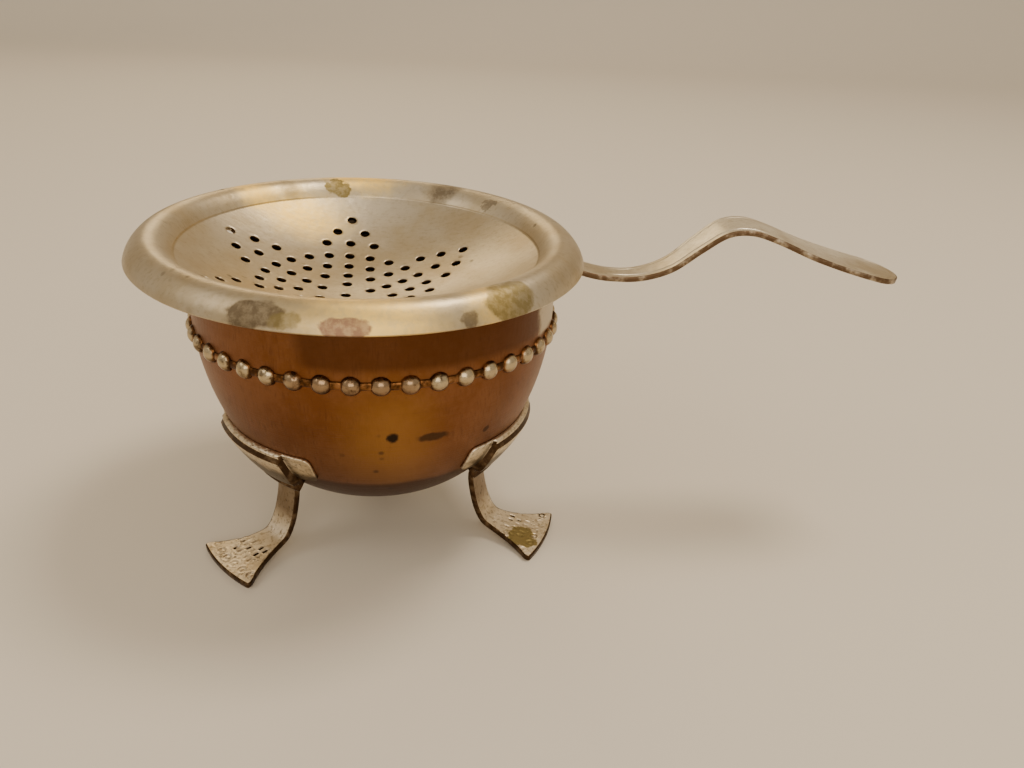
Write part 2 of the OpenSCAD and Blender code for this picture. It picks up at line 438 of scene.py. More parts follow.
def plate_finish(name, stains_and_glints=(), roughness=0.32, plate=SILVER):
    """Old silver plate: warm, semi-polished, with fine wear, faint clouds, dark pin spots, stains, and
    painted golden highlights that stand for lamps reflected in it.
    """
    f = Finish(name, Metallic=1.0)
    clouds = f.noise(f.place, 75.0, 4.0, 0.6)
    fine = f.noise(f.place, 1300.0, 3.0, 0.7)
    grain = f.noise(f.scaled(1.0, 5.0, 2.0), 420.0, 4.0, 0.7)
    pins = f.node("ShaderNodeTexVoronoi", {"feature": "F1"}, {"Vector": f.place, "Scale": 420.0})
    pin_field = f.between(f.noise(f.place, 70.0, 3.0), 0.58, 0.70)
    pin = f.between(pins, 0.30, 0.12) * pin_field
    colour = f.mix(f.between(clouds, 0.35, 0.7), plate, SILVER_WARM)
    colour = f.mix(f.between(fine * 0.5 + grain * 0.5, 0.48, 0.66) * 0.45, colour, SILVER_DULL)
    colour = f.mix(pin * 0.8, colour, TARNISH)
    rough = roughness + clouds * 0.10 + fine * 0.05 + pin * 0.25
    worn = f.between(f.noise(f.place, 800.0, 4.0, 0.7), 0.36, 0.6) * 0.3 + 0.7
    # Stains and worn spots, and painted golden highlights, laid over the plate.
    for shade, strength, spot in stains_and_glints:
        mask = f.near(**spot) * worn * strength
        colour = f.mix(mask, colour, shade)
        rough = rough + mask * 0.12
    normal = f.bump(grain, 0.05 * MM, 0.6)
    normal = f.bump(clouds, 0.6 * MM, 0.4, normal)
    normal = f.bump(1 - pin, 0.06 * MM, 0.8, normal)
    return f.put(Base_Color=colour, Roughness=rough, Normal=normal)


def edge_finish(name, deep=EDGE_DARK, pale=EDGE_BROWN):
    """Cut edge of the sheet, dark with old polish and partly painted shade."""
    f = Finish(name, Metallic=1.0)
    patches = f.noise(f.place, 500.0, 4.0, 0.6)
    colour = f.mix(f.between(patches, 0.45, 0.75), deep, pale)
    return f.put(Base_Color=colour, Roughness=0.35 + patches * 0.2, Normal=f.bump(patches, 0.05 * MM, 0.5))


def copper_finish():
    """The bowl: brown copper with its plate worn away, spun lines, a painted golden glow low on the front,
    and painted shade below the rim at the front right and on the underside.
    """
    f = Finish("worn_copper", Metallic=1.0)
    x, y, z = f.split(f.place)
    clouds = f.noise(f.place, 70.0, 5.0, 0.6)
    mottle = f.noise(f.place, 420.0, 4.0, 0.65)
    lines = f.noise(f.scaled(0.35, 0.35, 20.0), 330.0, 3.0, 0.6)
    turned = f.node("ShaderNodeMapping", {"vector_type": "POINT"},
                    {"Vector": f.place, "Rotation": (0, 0.9, 0), "Scale": (16.0, 3.0, 2.5)})
    strokes = f.noise(turned, 150.0, 4.0, 0.7)
    colour = f.mix(f.between(clouds * 0.6 + mottle * 0.4, 0.38, 0.60), COPPER, COPPER_PINK)
    colour = f.mix(f.between(strokes * 0.6 + mottle * 0.4, 0.5, 0.66) * 0.4, colour, COPPER_DARK)
    # Painted reflection: a warm golden glow low on the front of the bowl, streaked by the strokes.
    painted_glow = f.near((6, -27.5, 27), 11, 5, 90.0, (1.0, 0.6, 0.6), 0.1)
    colour = f.mix(painted_glow * (0.6 + strokes * 0.5), colour, COPPER_PAINTED_GLOW)
    # Painted shade: darker below the rim towards the front right, where the flange's shadow shows in the
    # copper.
    shade = f.between(z + (clouds - 0.5) * (3 * MM), 40.6 * MM, 42.4 * MM)
    front = f.between(x + (clouds - 0.5) * (7 * MM), -9 * MM, -5 * MM) * f.between(y, 0.0, -4 * MM)
    colour = f.mix(shade * front * 0.7, colour, COPPER_DARK)
    # Painted shade: the lowest part of the bowl is darkened.
    under = f.between(z + (clouds - 0.5) * (1.5 * MM), 19.3 * MM, 18.1 * MM)
    colour = f.mix(under * 0.85, colour, COPPER_PAINTED_UNDERSIDE_SHADE)
    kept_plate = f.between(x + (mottle - 0.5) * (2 * MM), 27.6 * MM, 28.6 * MM) * f.between(y, 4 * MM, 0.0)
    kept_plate = kept_plate * f.between(z, 40.5 * MM, 41.5 * MM)
    colour = f.mix(kept_plate * 0.85, colour, SILVER)
    rings = f.between(lines, 0.62, 0.8) * 0.35
    colour = f.mix(rings, colour, COPPER_DARK)
    blots = f.near((6.4, -27.9, 29.7), 1.1, 1.2, 600.0)
    blots = blots + f.near((12.4, -25.6, 29.1), 2.3, 2.0, 600.0, (0.7, 0.7, 2.2)) * 0.75
    blots = blots + f.near((20.2, -19.2, 27.5), 0.8, 1.0, 700.0) * 0.7
    pins = f.node("ShaderNodeTexVoronoi", {"feature": "F1"}, {"Vector": f.place, "Scale": 330.0})
    pin = f.between(pins, 0.22, 0.08) * f.between(f.noise(f.place, 60.0, 2.0), 0.55, 0.65)
    colour = f.mix(blots + pin * 0.6, colour, SOOT)
    rough = 0.26 + clouds * 0.14 + lines * 0.08 + mottle * 0.06 + blots * 0.2
    normal = f.bump(lines, 0.05 * MM, 0.7)
    normal = f.bump(strokes, 0.06 * MM, 0.6, normal)
    normal = f.bump(clouds, 0.3 * MM, 0.25, normal)
    return f.put(Base_Color=colour, Roughness=rough, Normal=normal)


def inside_finish():
    """Inside of the bowl, dull and dark with tea."""
    f = Finish("bowl_inside", Metallic=1.0)
    patches = f.noise(f.place, 120.0, 4.0, 0.6)
    colour = f.mix(f.between(patches, 0.35, 0.65), INSIDE_PALE, INSIDE_DARK)
    return f.put(Base_Color=colour, Roughness=0.38 + patches * 0.15, Normal=f.bump(patches, 0.1 * MM, 0.4))


def bead_finish():
    """Beads: plate left on the crowns, copper round their feet and on the linking strip."""
    f = Finish("bead_plate", Metallic=1.0)
    x, y, z = f.split(f.place)
    radius = (x * x + y * y) ** 0.5
    patches = f.noise(f.place, 700.0, 4.0, 0.65)
    crown = f.between(radius + (patches - 0.5) * (0.5 * MM), STAND_R + 0.22 * MM, STAND_R + 0.62 * MM)
    low = f.between(z + (patches - 0.5) * MM, BEAD_Z - 0.9 * MM, BEAD_Z - 0.2 * MM)
    base = f.mix(f.between(patches, 0.4, 0.65), BEAD_FOOT_DARK, BEAD_FOOT_PALE)
    front = f.between(x + patches * (4 * MM), 16 * MM, 11 * MM)
    front = front * f.between(x - patches * (4 * MM), -14 * MM, -9 * MM) * f.between(y, 0.0, -4 * MM)
    plate = f.mix(front * 0.75, SILVER_WARM, BEAD_BROWN)
    colour = f.mix(crown * f.between(patches, 0.28, 0.5) * (0.45 + low * 0.55), base, plate)
    rough = 0.30 - crown * 0.12 + patches * 0.08
    return f.put(Base_Color=colour, Roughness=rough, Normal=f.bump(patches, 0.12 * MM, 0.6))


def foot_finish(name, worn_at=None):
    """Feet: pitted plate with dark stamped hollows, painted shade on the legs, tarnish and painted shade
    about the saddle's lower edge, and a patch worn through to brass.
    """
    f = Finish(name, Metallic=1.0)
    x, y, z = f.split(f.place)
    clouds = f.noise(f.place, 160.0, 4.0, 0.6)
    stipple = f.noise(f.place, 1500.0, 2.0, 0.6)
    pits = f.node("ShaderNodeTexVoronoi", {"feature": "F1"}, {"Vector": f.place, "Scale": 1100.0})
    pit = f.between(pits, 0.34, 0.16) * f.between(f.noise(f.place, 230.0, 3.0), 0.46, 0.58)
    stamped = f.node("ShaderNodeAttribute", {"attribute_name": "stamped"}, output="Fac")
    colour = f.mix(f.between(clouds, 0.35, 0.7), FOOT_PALE, FOOT_DEEP)
    colour = f.mix(f.between(stipple, 0.50, 0.66) * 0.55, colour, FOOT_STIPPLE)
    # Painted shade: the legs darkened between the fan and the saddle.
    colour = f.mix(f.between(z, 4 * MM, 8 * MM) * f.between(z, 17 * MM, 15.5 * MM) * 0.8, colour, LEG_PAINTED_SHADE)
    # Tarnish and painted shade, in patches, about the saddle's lower edge.
    tarnish_and_painted_shade = f.between(z, 13.5 * MM, 15 * MM) * f.between(z + (clouds - 0.5) * (6 * MM), 21.5 * MM, 19.5 * MM)
    colour = f.mix(tarnish_and_painted_shade * f.between(clouds, 0.32, 0.5) * 0.95, colour, TARNISH)
    colour = f.mix(pit * 0.5, colour, TARNISH)
    kept = f.between(f.noise(f.place, 420.0, 2.0), 0.40, 0.52)
    colour = f.mix(f.between(stamped, -0.03, -0.12) * f.between(z, LEG_Z, LEG_Z - MM) * kept, colour, SOOT)
    rough = 0.34 + clouds * 0.14 + pit * 0.2
    if worn_at:
        worn = f.near(worn_at, 3.1, 4.2, 420.0, sharp=0.85)
        colour = f.mix(worn, colour, BRASS_WORN)
        rough = rough + worn * 0.12
    normal = f.bump(stipple, 0.05 * MM, 0.6)
    normal = f.bump(1 - pit, 0.12 * MM, 0.7, normal)
    normal = f.bump(clouds, 0.2 * MM, 0.3, normal)
    return f.put(Base_Color=colour, Roughness=rough, Normal=normal)


# ---------------------------------------------------------------- stand

def bowl_r(z, radius=STAND_R):
    """Outside radius of the drip bowl at height z."""
    x = np.clip((STAND_TURN - np.asarray(z, float)) / (STAND_TURN - STAND_BASE), 0, 1)
    return radius * (1 - x ** SIDE_UP) ** (1 / SIDE_ACROSS)


def make_drip_bowl(materials):
    """Spun bowl: outside up to the rounded rim, inside, in the second material, down to the middle."""
    heights = STAND_BASE + (STAND_TURN - STAND_BASE) * np.linspace(0, 1, 60) ** 2
    side = np.stack([bowl_r(heights), heights], axis=1)
    rim = arc(STAND_WALL / 2, 0, 180, 10, (STAND_R - STAND_WALL / 2, STAND_TOP - STAND_WALL / 2))
    inside = offset(side, STAND_WALL)[1:]
    inside = inside[inside[:, 0] > 1 * MM]
    inside[:, 0] = np.minimum(inside[:, 0], STAND_R - STAND_WALL)
    profile = np.concatenate([side, rim, inside[::-1], [[0, STAND_BASE + STAND_WALL]]])
    vertices, faces = lathe(profile, BOWL_STEPS)
    mesh = mesh_of("bowl_shell", vertices, faces)
    for material in materials:
        mesh.materials.append(material)
    middle = Vector((0, 0, STAND_TURN))
    for face in mesh.polygons:
        inward = face.normal.dot(face.center - middle) < 0
        face.material_index = int(inward or face.center.z > STAND_TOP - STAND_WALL)
    return new_object("bowl_shell", mesh)


def make_bead_row(material):
    """Beaded wire: a ball set into the wall at each step, on a thin linking strip."""
    tree = Tree("bead row")
    tree.add_input("Count", "NodeSocketInt", BEAD_COUNT)
    tree.add_input("Ring radius", "NodeSocketFloat", BEAD_OUT - BEAD_BALL)
    tree.add_input("Ball radius", "NodeSocketFloat", BEAD_BALL)
    tree.add_input("Height", "NodeSocketFloat", BEAD_Z)
    tree.add_input("Wear scale", "NodeSocketFloat", 800.0)
    tree.add_input("Wear depth", "NodeSocketFloat", BEAD_WEAR)
    given = tree.start()
    ring = tree.node("GeometryNodeMeshCircle", {"fill_type": "NONE"},
                     {"Vertices": given["Count"], "Radius": given["Ring radius"]})
    ball = tree.node("GeometryNodeMeshUVSphere",
                     inputs={"Segments": 24, "Rings": 16, "Radius": given["Ball radius"]})
    beads = tree.node("GeometryNodeInstanceOnPoints", inputs={"Points": ring[0], "Instance": ball[0]})
    lift = tree.node("ShaderNodeCombineXYZ", inputs={"Z": given["Height"]})
    turn = math.radians(BEAD_SHIFT * 360 / BEAD_COUNT - 90)
    placed = tree.node("GeometryNodeTransform", inputs={"Geometry": beads[0], "Translation": lift[0],
                                                        "Rotation": (0, 0, turn)})
    single = tree.node("GeometryNodeRealizeInstances", inputs={"Geometry": placed[0]})
    worn = tree.node("ShaderNodeTexNoise", inputs={"Scale": given["Wear scale"], "Detail": 2.0})
    depth = tree.node("ShaderNodeMath", {"operation": "MULTIPLY_ADD"},
                      {0: worn[0], 1: given["Wear depth"], 2: -0.5 * BEAD_WEAR})
    outward = tree.node("GeometryNodeInputNormal")
    shift = tree.node("ShaderNodeVectorMath", {"operation": "SCALE"}, {0: outward[0], "Scale": depth[0]})
    uneven = tree.node("GeometryNodeSetPosition", inputs={"Geometry": single[0], "Offset": shift[0]})
    smooth = tree.node("GeometryNodeSetShadeSmooth", inputs={"Geometry": uneven[0]})
    tree.finish(smooth[0], material)
    piece = new_object("bead_row", bpy.data.meshes.new("bead_row"))
    tree.run(piece)
    section = arc(1, -90, 90, 12) * (LINK_OUT, LINK_HALF) + (STAND_R - 0.05 * MM, BEAD_Z)
    section = np.concatenate([section, section[:1]])
    vertices, faces = lathe(section, BOWL_STEPS)
    link = mesh_of("bead_link", vertices, faces)
    work = bmesh.new()
    work.from_mesh(link)
    bmesh.ops.remove_doubles(work, verts=work.verts, dist=0.001 * MM)
    work.from_mesh(piece.data)
    cut = [v for v in work.verts if math.hypot(v.co.x, v.co.y) < STAND_R - 0.45 * MM]
    bmesh.ops.delete(work, geom=cut, context="VERTS")
    edges = [e for e in work.edges if e.is_boundary]
    bmesh.ops.holes_fill(work, edges=edges, sides=0)
    bmesh.ops.recalc_face_normals(work, faces=work.faces)
    work.to_mesh(piece.data)
    work.free()
    piece.data.shade_smooth()
    piece.data.materials.clear()
    piece.data.materials.append(material)
    return piece


FOOT_LINE = [(32.7, 0.56), (30.4, 0.8), (28, 1.15), (24.4, 1.9), (21.9, 3.0), (20.4, 5.6), (19.5, 9),
             (19.15, 12), (19.6, 13.6)]
HUG_Z = (15.1, 16.4, 18, 20, 22, 23.7)   # heights, in mm, where the saddle lies against the bowl
NECK_R = 22.6 * MM          # where the fan starts to widen
LEG_Z = 8 * MM              # a height on the leg, between the fan and the saddle
HEAD_Z = 15.3 * MM          # lower edge of the leg's broadened end
HEAD_HALF = math.radians(20.5)
WING_Z = 17.9 * MM          # lower edge of the saddle's wings
CORNER = 1.3 * MM
PROUD = 0.8 * MM            # how far the leg's end is built up, and how much thinner the wings are
WING_THIN = 0.5 * MM
RING_R = 30.9 * MM          # radius, from the stand's axis, of the row of stamped rings
RING_COUNT = 6
RING_PITCH = 2.35 * MM
HEAD_HEIGHTS = ((14.9, 15.5, 15.9, 16.3, 16.8, 17.2, 22.8, 23.4), (0, 1.25, 1.25, 0.1, 0.1, 1, 1, 0))
RING_DEPTH = 0.13 * MM      # a stamped ring: a round groove with a low lip outside it
GROOVE_R = 0.5 * MM
LIP_HEIGHT = 0.07 * MM
LIP_R = 0.9 * MM
RING_SPREAD = 0.2 * MM
DASH_ROWS = (28.6 * MM, 27.1 * MM, 25.7 * MM)
DASH_PITCH = 1.2 * MM
DASH_DEPTH = 0.2 * MM
DASH_HALF_W = 0.27 * MM
DASH_HALF_L = 0.52 * MM


def make_foot(name, angle, materials):
    """One stamping: fan, leg and saddle. Every row of it is an arc about the stand's axis."""
    hugging = [(bowl_r(z * MM) / MM + 0.58 * FOOT_T / MM, z) for z in HUG_Z]
    line = curve(np.array(FOOT_LINE + hugging) * MM, 24)
    normal = normals_of(line)
    along = np.concatenate([[0], np.cumsum(np.linalg.norm(np.diff(line, axis=0), axis=1))])
    total = along[-1]

    def at(s):
        r, z = (np.interp(s, along, line[:, i]) for i in (0, 1))
        nr, nz = (np.interp(s, along, normal[:, i]) for i in (0, 1))
        return r, z, nr, nz

    def widen(z, start, reach):
        """0 below the start, then a rounded corner up to 1."""
        return np.sqrt(1 - (1 - np.clip((z - start) / reach, 0, 1)) ** 2)

    def half_angle(s):
        r, z, nr, nz = at(s)
        leg = LEG_W / 2 / r
        fan = leg + (FOOT_FAN - leg) * np.clip((r - NECK_R) / (FOOT_TIP - NECK_R), 0, 1) ** 1.15
        tip = np.clip((r - FOOT_TIP + CORNER) / CORNER, 0, 1)
        fan = fan - (1 - np.sqrt(1 - tip ** 2)) * CORNER * 0.8 / r
        head = leg + (HEAD_HALF - leg) * widen(z, HEAD_Z, 0.8 * MM)
        wings = (SADDLE_HALF - HEAD_HALF) * widen(z, WING_Z, CORNER)
        high = np.clip((z - SADDLE_TOP + CORNER) / CORNER, 0, 1)
        saddle = head + wings - (1 - np.sqrt(1 - high ** 2)) * CORNER * 0.9 / r
        return np.where(z < LEG_Z, fan, saddle)

    def middle(s, u):
        r, z, nr, nz = at(s)
        a = u * half_angle(s)
        points = np.stack([r * np.cos(a), r * np.sin(a), z], axis=-1)
        normals = np.stack([nr * np.cos(a), nr * np.sin(a), nz], axis=-1)
        return points, -normals

    def margin(s, u):
        r = at(s)[0]
        return np.minimum(r * half_angle(s) * (1 - np.abs(u)), np.minimum(s, total - s))

    def relief(s, u):
        """Stamped fan: rings by the edge, then rows of radiating dashes. Leg's end proud of the saddle."""
        r, z, nr, nz = at(s)
        a = u * half_angle(s)
        stamp = np.zeros_like(s)
        depths = np.random.default_rng(11)
        for k in range(RING_COUNT):
            centre = (k - (RING_COUNT - 1) / 2) * RING_PITCH / RING_R
            from_centre = np.hypot(r - RING_R, r * (a - centre))
            depth = depths.uniform(0.3, 1)
            stamp -= depth * RING_DEPTH * np.exp(-((from_centre - GROOVE_R) / RING_SPREAD) ** 2)
            stamp += depth * LIP_HEIGHT * np.exp(-((from_centre - LIP_R) / RING_SPREAD) ** 2)
        for row, radius in enumerate(DASH_ROWS):
            count = int(radius * 2 * FOOT_FAN * (0.84 - 0.08 * row) / DASH_PITCH)
            for k in range(count):
                centre = (k - (count - 1) / 2) * DASH_PITCH / radius
                across = np.abs(r * (a - centre)) / DASH_HALF_W
                length = np.abs(r - radius) / DASH_HALF_L
                stamp -= depths.uniform(0.05, 1) ** 2 * DASH_DEPTH * np.exp(-across ** 4 - length ** 6)
        side = r * (np.abs(a) - HEAD_HALF + 0.012)
        height = np.interp(z / MM, HEAD_HEIGHTS[0], HEAD_HEIGHTS[1])
        on_wing = smooth_step(side / (0.3 * MM))
        saddle = PROUD * height * (1 - on_wing) - WING_THIN * on_wing * (z > HEAD_Z)
        return np.where(z < LEG_Z, stamp, saddle)

    def bright(s, u):
        return at(s)[1] > WING_Z

    rows = np.concatenate([[0, 0.05 * MM, 0.12 * MM], np.arange(0.25 * MM, 10 * MM, 0.125 * MM),
                           np.linspace(10 * MM, total - 0.4 * MM, 170),
                           total - np.array([0.25, 0.12, 0.05, 0]) * MM])
    edge = np.array([0, 0.008, 0.02, 0.04])
    inner = np.linspace(0.06, 1.94, 121)
    columns = np.concatenate([edge, inner, 2 - edge[::-1]]) - 1
    place = Matrix.Rotation(math.radians(angle), 4, "Z")
    mesh = sheet_solid(name, middle, FOOT_T, margin, rows, columns, relief, place, bright)
    piece = new_object(name, mesh)
    for material in materials:
        mesh.materials.append(material)
    return piece


# ---------------------------------------------------------------- strainer

SEATED = (Matrix.Translation((*SEAT, CREASE_Z)) @ Matrix.Rotation(SEAT_TILT, 4, "Y")
          @ Matrix.Rotation(SEAT_NOD, 4, "X"))
DISH_BALL = (CREASE_R ** 2 + DISH_DEPTH ** 2) / (2 * DISH_DEPTH)
DISH_BALL_Z = DISH_BALL - DISH_DEPTH
FLANGE_LINE = [(30.5, 0), (31.5, 1.35), (32.6, 2.3), (33.9, 2.7), (35.2, 2.35), (36.25, 1.45), (37, 0.4),
               (37.45, -0.7)]


def strainer_profile():
    """Closed section of the pressing: upper face out to the edge, under face back to the middle."""
    angles = np.linspace(0, math.asin(CREASE_R / DISH_BALL), 70)[:-1]
    dish = np.stack([DISH_BALL * np.sin(angles), DISH_BALL_Z - DISH_BALL * np.cos(angles)], axis=1)
    middle = np.concatenate([dish, curve(np.array(FLANGE_LINE) * MM, 9)])
    normal = normals_of(middle)
    upper = middle + normal * DISH_T / 2
    under = middle - normal * DISH_T / 2
    upper[0, 0] = under[0, 0] = 0
    end = middle[-1]
    lip = [end + (0.16 * MM, -0.1 * MM), end + (-0.16 * MM, -0.1 * MM)]
    return np.concatenate([upper, lip, under[::-1]])


def hole_circles():
    """(count, radius, turn in degrees) of every circle of holes: full rings, then six points."""
    circles = [(6 * ring, RING_START + ring * RING_STEP, STAR_TURN) for ring in range(1, 5)]
    for row in (1, 2, 3):
        for k in range(4 - row):
            circles.append((6, POINT_START + row * POINT_STEP, STAR_TURN + (k - (3 - row) / 2) * POINT_PITCH))
    return circles


def punch_mesh():
    """A punch for one hole: round, and flared where it enters so that the hole's lip is rolled."""
    flare = [(0, 0.1), (0.02, 0.24), (0.07, 0.33), (0.16, 0.385), (0.28, 0.42)]
    wide = HOLE_R + flare[-1][0] * MM
    reach = 1.6 * MM
    profile = [(0, -reach), (HOLE_R, -reach)] + [(HOLE_R + r * MM, z * MM) for r, z in flare]
    vertices, faces = lathe(profile + [(wide, reach), (0, reach)], 28)
    return mesh_of("punch", vertices, faces)


def make_strainer(material, wall_material):
    """Pressed dish with its flange, then every hole punched square to the dish, with dark walls that are
    partly painted shade.
    """
    tree = Tree("drain holes")
    tree.add_input("Dish", "NodeSocketGeometry")
    tree.add_input("Punch", "NodeSocketObject", new_object("punch", punch_mesh()))
    tree.add_input("Dish ball radius", "NodeSocketFloat", DISH_BALL)
    given = tree.start()
    punch = tree.node("GeometryNodeObjectInfo", inputs={"Object": given["Punch"]})
    centre = tree.node("GeometryNodeMeshLine", inputs={"Count": 1, "Offset": (0, 0, 0)})
    rings = [centre[0]]
    for count, radius, turn in hole_circles():
        ring = tree.node("GeometryNodeMeshCircle", {"fill_type": "NONE"},
                         {"Vertices": count, "Radius": radius})
        rings.append(tree.node("GeometryNodeTransform", inputs={"Geometry": ring[0],
                                                                "Rotation": (0, 0, math.radians(turn))})[0])
    joined = tree.node("GeometryNodeJoinGeometry", inputs={0: rings})
    flat = tree.node("GeometryNodeTransform", inputs={"Geometry": joined[0], "Translation": (*PATTERN, 0)})
    spot = tree.node("GeometryNodeInputPosition")
    spread = tree.node("ShaderNodeVectorMath", {"operation": "LENGTH"}, {0: spot[0]})
    ratio = tree.node("ShaderNodeMath", {"operation": "DIVIDE"}, {0: spread[1], 1: given["Dish ball radius"]})
    angle = tree.node("ShaderNodeMath", {"operation": "ARCSINE"}, {0: ratio[0]})
    drop = tree.node("ShaderNodeMath", {"operation": "COSINE"}, {0: angle[0]})
    depth = tree.node("ShaderNodeMath", {"operation": "MULTIPLY"}, {0: drop[0], 1: given["Dish ball radius"]})
    height = tree.node("ShaderNodeMath", {"operation": "SUBTRACT"}, {0: DISH_BALL_Z, 1: depth[0]})
    shift = tree.node("ShaderNodeCombineXYZ", inputs={"Z": height[0]})
    seats = tree.node("GeometryNodeSetPosition", inputs={"Geometry": flat[0], "Offset": shift[0]})
    lean = tree.node("ShaderNodeVectorMath", {"operation": "SUBTRACT"}, {0: (0, 0, DISH_BALL_Z), 1: spot[0]})
    turn = tree.node("FunctionNodeAlignRotationToVector", {"axis": "Z"}, {"Vector": lean[0]})
    punches = tree.node("GeometryNodeInstanceOnPoints",
                        inputs={"Points": seats[0], "Instance": punch["Geometry"], "Rotation": turn[0]})
    cutters = tree.node("GeometryNodeRealizeInstances", inputs={"Geometry": punches[0]})
    pierced = tree.node("GeometryNodeMeshBoolean", {"operation": "DIFFERENCE", "solver": "MANIFOLD"},
                        {"Mesh 1": given["Dish"], "Mesh 2": cutters[0]})
    tree.finish(pierced[0], material)
    vertices, faces = lathe(strainer_profile(), DISH_STEPS)
    piece = new_object("strainer_pressing", mesh_of("strainer_pressing", vertices, faces))
    tree.run(piece)
    bpy.data.objects.remove(bpy.data.objects["punch"])
    # The hole walls take the dark edge finish, partly painted shade for the dark seen through the holes.
    piece.data.materials.append(wall_material)
    ball = Vector((0, 0, DISH_BALL_Z))
    for face in piece.data.polygons:
        out = (face.center - ball).normalized()
        in_dish = math.hypot(face.center.x, face.center.y) < HOLES_WITHIN
        if in_dish and abs(face.normal.dot(out)) < WALL_LEAN:
            face.material_index = len(piece.data.materials) - 1
    piece.data.transform(SEATED)
    piece.data.shade_smooth()
    return piece


HANDLE_LINE = [(34.3, 2.4), (34.5, 1.2), (35.6, -1.4), (38.5, -2.7), (43, -3.4), (48, -3.1), (53, -1.2),
               (57.5, 2.5), (61.5, 5.5), (65.5, 6.2), (70, 5.1), (77, 2.5), (85, 0.2), (93.4, -1.7)]


WAIST_X = 44 * MM           # where the handle is narrowest
GROOVE_IN = 1.15 * MM       # engraved line: how far in from the edge, its depth and half its width
GROOVE_DEPTH = 0.11 * MM
GROOVE_HALF = 0.14 * MM
HANDLE_CROWN = 0.12 * MM


def make_handle(materials):
    """Bent strip with a spatula end, a line engraved along its edges and a slightly crowned face."""
    line = curve(np.array(HANDLE_LINE) * MM, 24)
    normal = normals_of(line)
    along = np.concatenate([[0], np.cumsum(np.linalg.norm(np.diff(line, axis=0), axis=1))])
    total = along[-1]
    tip = HANDLE_END / 2

    def half_width(s):
        x = np.interp(s, along, line[:, 0])
        grow = np.sin(math.pi / 2 * np.clip((x - WAIST_X) / (HANDLE_TIP - 52 * MM), 0, 1)) ** 1.6
        root = np.clip(WAIST_X - x, 0, 1) * 0.06
        return (HANDLE_WAIST + (HANDLE_END - HANDLE_WAIST) * grow) / 2 + root

    def middle(s, u):
        bulge = tip * smooth_step((s - (total - 2.4 * tip)) / (2.4 * tip))
        a = s - bulge * (1 - np.sqrt(np.clip(1 - u ** 2, 0, 1)))
        x, z = (np.interp(a, along, line[:, i]) for i in (0, 1))
        nx, nz = (np.interp(a, along, normal[:, i]) for i in (0, 1))
        y = u * half_width(s)
        points = np.stack([x, y, z], axis=-1)
        normals = np.stack([nx, np.zeros_like(nx), nz], axis=-1)
        return points, normals

    def margin(s, u):
        return np.minimum(half_width(s) * (1 - np.abs(u)), np.minimum(s, total - s))

    def relief(s, u):
        inset = margin(s, u)
        fade = smooth_step((s - 8 * MM) / (8 * MM))
        groove = -GROOVE_DEPTH * np.exp(-((inset - GROOVE_IN) / GROOVE_HALF) ** 2) * fade
        crown = HANDLE_CROWN * (1 - u ** 2)
        return groove + crown

    rows = np.concatenate([[0, 0.06 * MM, 0.15 * MM], np.linspace(0.3 * MM, total - 14 * MM, 200),
                           np.linspace(total - 13.8 * MM, total - 0.4 * MM, 90),
                           total - np.array([0.25, 0.15, 0.06, 0]) * MM])
    edge = np.array([0, 0.01, 0.025, 0.045])
    inner = np.linspace(0.07, 1.93, 81)
    columns = np.concatenate([edge, inner, 2 - edge[::-1]]) - 1
    place = SEATED @ Matrix.Rotation(HANDLE_TURN, 4, "Z")
    mesh = sheet_solid("handle_strip", middle, HANDLE_T, margin, rows, columns, relief, place)
    piece = new_object("handle_strip", mesh)
    for material in materials:
        mesh.materials.append(material)
    return piece


# ---------------------------------------------------------------- put together

